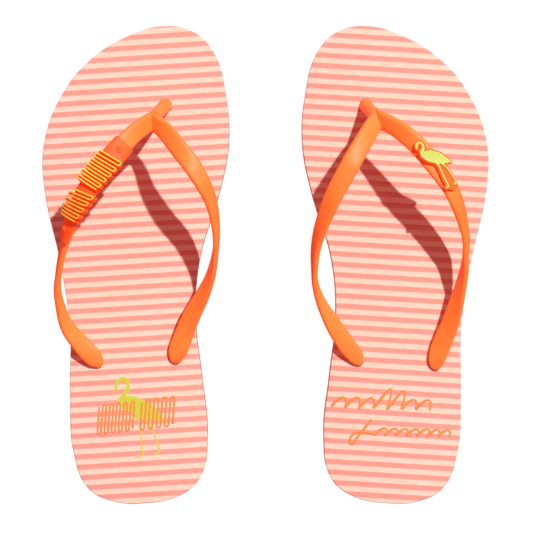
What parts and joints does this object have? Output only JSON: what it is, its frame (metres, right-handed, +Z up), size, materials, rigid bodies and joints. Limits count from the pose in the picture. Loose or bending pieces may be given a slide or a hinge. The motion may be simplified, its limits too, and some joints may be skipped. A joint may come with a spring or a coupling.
{
  "type": "pair of flip flops",
  "caption": "Pair of thong sandals with flat striped foam soles, soft Y-shaped straps held by mushroom plugs, and small raised charms on the outer strap arms.",
  "frame": {"origin": "middle of the pair's bounding box, on the ground under the outsoles", "axes": "+X to the wearer's right, +Y towards the toes, +Z up"},
  "size_m": [0.2324, 0.249, 0.0619],
  "materials": {
    "printed_footbed": "matte fine-grained EVA, printed with pink and cream cross stripes",
    "foam_midsole": "matte coral EVA foam, cut edge",
    "outsole": "matte coral rubber with a moulded tread",
    "orange_strap": "satin neon orange soft PVC",
    "red_orange_charm": "satin red-orange soft PVC",
    "yellow_relief": "satin yellow soft PVC",
    "lime_relief": "satin lime yellow soft PVC"
  },
  "bodies": {
    "left_forefoot": {"left_footbed_front": "printed_footbed", "left_midsole_front": "foam_midsole", "left_outsole_front": "outsole", "left_strap": "orange_strap", "left_charm_band": "red_orange_charm", "left_charm_meander_front": "yellow_relief", "left_charm_meander_rear": "yellow_relief", "left_charm_stud_front": "red_orange_charm", "left_charm_stud_rear": "red_orange_charm"},
    "left_rearfoot": {"left_footbed_rear": "printed_footbed", "left_midsole_rear": "foam_midsole", "left_outsole_rear": "outsole"},
    "right_forefoot": {"right_footbed_front": "printed_footbed", "right_midsole_front": "foam_midsole", "right_outsole_front": "outsole", "right_strap": "orange_strap", "right_flamingo_base": "red_orange_charm", "right_flamingo_figure": "lime_relief"},
    "right_rearfoot": {"right_footbed_rear": "printed_footbed", "right_midsole_rear": "foam_midsole", "right_outsole_rear": "outsole"}
  },
  "joints": [
    {"name": "left_sole_flex", "type": "hinge", "parent": "left_forefoot", "child": "left_rearfoot", "pos_m": [-0.06885, 0.0323, 0.0153], "axis": [-0.9981, -0.061, 0], "range_deg": [0, 40], "stiffness_Nm_per_rad": 1.2, "deforming": ["left_strap", "left_charm_band", "left_charm_meander_front", "left_charm_meander_rear", "left_charm_stud_front", "left_charm_stud_rear"]},
    {"name": "right_sandal_slide", "type": "slide", "parent": "left_forefoot", "child": "right_forefoot", "axis": [1, 0, 0], "range_m": [0, 0.1]},
    {"name": "right_sole_flex", "type": "hinge", "parent": "right_forefoot", "child": "right_rearfoot", "pos_m": [0.06885, 0.0323, 0.0153], "axis": [-0.9981, 0.061, 0], "range_deg": [0, 40], "stiffness_Nm_per_rad": 1.2, "deforming": ["right_strap", "right_flamingo_base", "right_flamingo_figure"]}
  ]
}
